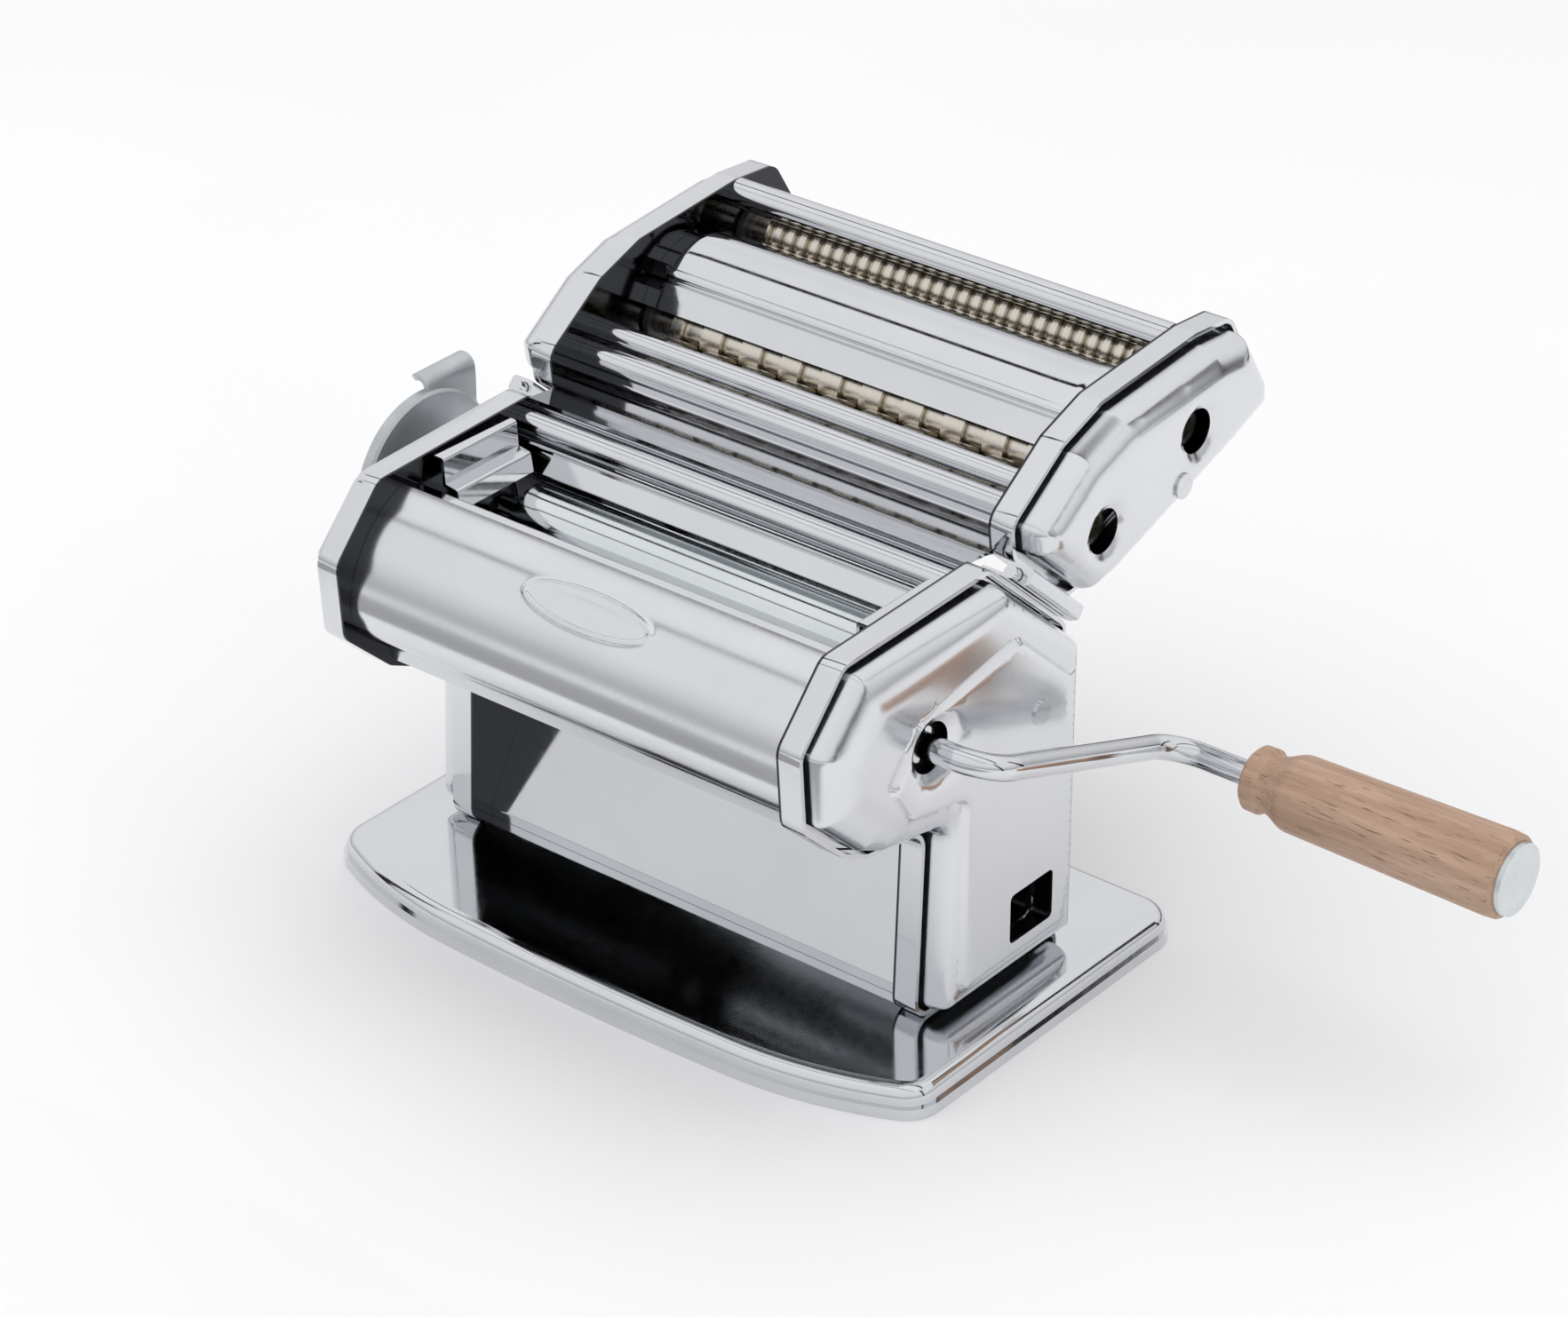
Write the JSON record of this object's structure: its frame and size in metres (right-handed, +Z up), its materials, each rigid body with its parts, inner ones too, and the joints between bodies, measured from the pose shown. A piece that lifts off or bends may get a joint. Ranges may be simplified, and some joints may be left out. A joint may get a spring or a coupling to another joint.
{
  "type": "pasta roller machine",
  "caption": "Hand-cranked dough rolling machine on a bowed base, with a lift-off double cutter head and a wooden grip.",
  "frame": {"origin": "under the middle of the width of the base, level with its feet, in line with the middle of the leg depth", "axes": "+X to the crank side, +Y to the rear, +Z up"},
  "size_m": [0.389, 0.2328, 0.1992],
  "materials": {
    "chrome_sheet": "pressed steel sheet, bright chrome plate",
    "chrome_bar": "drawn steel bar, bright chrome plate",
    "roller_steel": "ground steel, nickel plated",
    "cutter_steel": "turned steel with a warm tint",
    "gear_steel": "hobbed steel",
    "bush_plastic": "moulded acetal, black",
    "beech": "turned and lightly oiled beech",
    "cap_aluminium": "pressed disc",
    "knob_alloy": "die cast, satin",
    "screw_steel": "plated screw",
    "rubber": "moulded rubber"
  },
  "bodies": {
    "body": {"base_plate": "chrome_sheet", "base_feet": "rubber", "right_frame": "chrome_sheet", "left_frame": "chrome_sheet", "right_cover": "chrome_sheet", "left_cover": "chrome_sheet", "front_cover": "chrome_sheet", "front_guide": "chrome_sheet", "rear_guide": "chrome_sheet", "chute": "chrome_sheet", "rear_cover": "chrome_sheet", "tie_rods": "chrome_bar", "right_side_guide": "chrome_sheet", "left_side_guide": "chrome_sheet", "drive_bushes": "bush_plastic", "scrapers": "roller_steel", "body_screws": "screw_steel", "mounting_rails": "chrome_bar", "detent_plate": "chrome_sheet"},
    "drive_roller_set": {"drive_roller": "roller_steel", "drive_gear": "gear_steel"},
    "roller_carriage": {"carriage_blocks": "bush_plastic"},
    "adjust_roller_set": {"adjust_roller": "roller_steel", "adjust_gear": "gear_steel"},
    "crank": {"crank_rod": "chrome_bar"},
    "grip": {"crank_grip": "beech", "grip_cap": "cap_aluminium"},
    "regulator_spindle": {"regulator_spindle": "gear_steel"},
    "regulator": {"regulator_knob": "knob_alloy", "knob_screw": "screw_steel", "detent_pin": "gear_steel"},
    "cutter_head": {"cutter_right_plate": "chrome_sheet", "cutter_left_plate": "chrome_sheet", "cutter_right_cover": "chrome_sheet", "cutter_left_cover": "chrome_sheet", "cutter_hood": "chrome_sheet", "cutter_bars": "chrome_bar", "cutter_apron": "chrome_sheet", "cutter_back": "chrome_sheet", "cutter_clips": "chrome_bar", "cutter_bushes": "bush_plastic", "cutter_screws": "screw_steel"},
    "wide_driven": {"wide_cutter_driven": "cutter_steel", "wide_gear_driven": "gear_steel"},
    "wide_mate": {"wide_cutter_mate": "cutter_steel", "wide_gear_mate": "gear_steel"},
    "fine_driven": {"fine_cutter_driven": "cutter_steel", "fine_gear_driven": "gear_steel"},
    "fine_mate": {"fine_cutter_mate": "cutter_steel", "fine_gear_mate": "gear_steel"}
  },
  "joints": [
    {"name": "drive_spin", "type": "hinge", "parent": "body", "child": "drive_roller_set", "pos_m": [0, -0.039, 0.1185], "axis": [1, 0, 0], "continuous": true},
    {"name": "crank_pull", "type": "slide", "parent": "drive_roller_set", "child": "crank", "axis": [1, 0, 0], "range_m": [0, 0.04]},
    {"name": "grip_spin", "type": "hinge", "parent": "crank", "child": "grip", "pos_m": [0.2, 0.0585, 0.083], "axis": [1, 0, 0], "continuous": true},
    {"name": "regulator_turn", "type": "hinge", "parent": "body", "child": "regulator_spindle", "pos_m": [-0.115, -0.01328, 0.12444], "axis": [1, 0, 0], "range_deg": [0, 140]},
    {"name": "regulator_pull", "type": "slide", "parent": "regulator_spindle", "child": "regulator", "axis": [-1, 0, 0], "range_m": [0, 0.004], "stiffness_N_per_m": 600, "springref_m": -0.001},
    {"name": "carriage_shift", "type": "slide", "parent": "body", "child": "roller_carriage", "axis": [0, 0.9744, 0.225], "range_m": [0, 0.00221]},
    {"name": "adjust_spin", "type": "hinge", "parent": "roller_carriage", "child": "adjust_roller_set", "pos_m": [0, -0.01328, 0.12444], "axis": [1, 0, 0], "continuous": true},
    {"name": "cutter_lift", "type": "slide", "parent": "body", "child": "cutter_head", "axis": [0, -0.745, 0.667], "range_m": [0, 0.06]},
    {"name": "wide_spin", "type": "hinge", "parent": "cutter_head", "child": "wide_driven", "pos_m": [0, 0.0464, 0.1575], "axis": [1, 0, 0], "continuous": true},
    {"name": "wide_mate_spin", "type": "hinge", "parent": "cutter_head", "child": "wide_mate", "pos_m": [0, 0.0661, 0.16352], "axis": [1, 0, 0], "continuous": true},
    {"name": "fine_spin", "type": "hinge", "parent": "cutter_head", "child": "fine_driven", "pos_m": [0, 0.0955, 0.1728], "axis": [1, 0, 0], "continuous": true},
    {"name": "fine_mate_spin", "type": "hinge", "parent": "cutter_head", "child": "fine_mate", "pos_m": [0, 0.1152, 0.17882], "axis": [1, 0, 0], "continuous": true}
  ],
  "couplings": [
    {"joint": "adjust_spin", "follows": "drive_spin", "ratio": -1},
    {"joint": "carriage_shift", "follows": "regulator_turn", "m_per_rad": 0.00090036},
    {"joint": "wide_mate_spin", "follows": "wide_spin", "ratio": -1},
    {"joint": "fine_mate_spin", "follows": "fine_spin", "ratio": -1}
  ]
}
